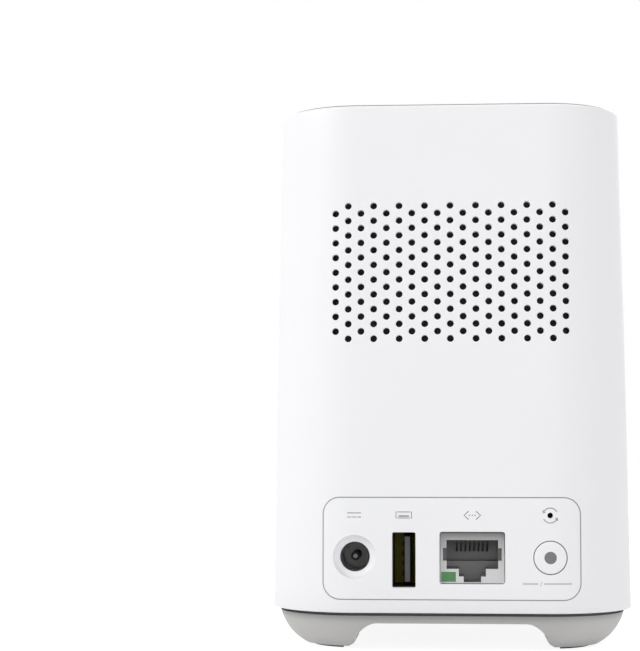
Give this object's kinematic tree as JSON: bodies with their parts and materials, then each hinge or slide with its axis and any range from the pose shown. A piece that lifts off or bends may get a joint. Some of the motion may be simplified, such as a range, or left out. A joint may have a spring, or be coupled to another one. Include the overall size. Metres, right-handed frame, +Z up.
{
  "type": "security camera base station",
  "caption": "Upright white rounded-square base station on a grey four-footed tub, with power, data and network sockets, a push button, a reset pinhole and sound holes in its rear wall.",
  "frame": {"origin": "middle of the footprint, on the surface that the four pads stand on", "axes": "+Z up, -Y out of the rear wall that holds the sockets, +X to the right for someone who looks at that wall"},
  "size_m": [0.086, 0.086, 0.128],
  "materials": {
    "white_plastic": "fine spark-eroded satin",
    "grey_plastic": "fine satin",
    "black_rubber": "matt",
    "screw_steel": "zinc plated",
    "frame_plastic": "as moulded",
    "board_green": "solder resist",
    "socket_black": "as moulded",
    "plated_metal": "tin or nickel plated sheet",
    "tongue_grey": "as moulded",
    "gold_contact": "gold plated",
    "socket_grey": "as moulded",
    "green_lens": "tinted light guide",
    "black_steel": "black coated",
    "magnet_dark": "sintered, plain",
    "cone_paper": "pressed paper",
    "coil_copper": "enamelled wire",
    "soft_foam": "closed-cell foam",
    "mesh_cloth": "woven",
    "chip_black": "moulded epoxy",
    "pad_silicone": "soft silicone",
    "fin_aluminium": "plain",
    "ferrite": "ferrite",
    "milky_lens": "milky light guide",
    "led_yellow": "phosphor",
    "plug_cream": "as moulded",
    "flex_film": "polyimide film"
  },
  "bodies": {
    "station": {"outer_shell": "white_plastic", "top_cap": "white_plastic", "base_tub": "grey_plastic", "foot_pads": "black_rubber", "base_screws": "screw_steel", "inner_frame": "frame_plastic", "main_board": "board_green", "board_screws": "screw_steel", "power_jack_body": "socket_black", "power_jack_pin": "plated_metal", "power_jack_spring": "plated_metal", "data_port_shell": "plated_metal", "data_port_tongue": "tongue_grey", "data_port_contacts": "gold_contact", "network_jack_body": "socket_grey", "network_jack_contacts": "gold_contact", "network_light": "green_lens", "sync_switch_body": "socket_black", "reset_switch_body": "socket_black", "siren_basket": "black_steel", "siren_magnet": "magnet_dark", "siren_surround": "soft_foam", "siren_gasket": "soft_foam", "siren_screws": "screw_steel", "dust_mesh": "mesh_cloth", "processor_chip": "chip_black", "memory_chips": "chip_black", "thermal_pad": "pad_silicone", "heat_spreader": "fin_aluminium", "radio_shields": "plated_metal", "capacitors": "fin_aluminium", "power_coils": "ferrite", "antennas": "plated_metal", "status_lens": "milky_lens", "light_board": "board_green", "light_board_screws": "screw_steel", "status_leds": "led_yellow", "flex_plug": "plug_cream", "light_flex": "flex_film"},
    "button": {"sync_button": "white_plastic"},
    "sync_plunger": {"sync_switch_plunger": "socket_black"},
    "reset_plunger": {"reset_switch_plunger": "socket_black"},
    "siren_voice": {"siren_cone": "cone_paper", "siren_coil": "coil_copper"}
  },
  "joints": [
    {"name": "sync_button_press", "type": "slide", "parent": "station", "child": "button", "axis": [0, 1, 0], "range_m": [0, 0.0005], "stiffness_N_per_m": 300},
    {"name": "sync_plunger_press", "type": "slide", "parent": "station", "child": "sync_plunger", "axis": [0, 1, 0], "range_m": [0, 0.0005], "stiffness_N_per_m": 100},
    {"name": "reset_plunger_press", "type": "slide", "parent": "station", "child": "reset_plunger", "axis": [0, 1, 0], "range_m": [0, 0.00025], "stiffness_N_per_m": 300},
    {"name": "siren_swing", "type": "slide", "parent": "station", "child": "siren_voice", "axis": [0, 1, 0], "range_m": [-0.0004, 0.0004], "stiffness_N_per_m": 500}
  ],
  "couplings": [
    {"joint": "sync_plunger_press", "follows": "sync_button_press", "ratio": 1}
  ]
}
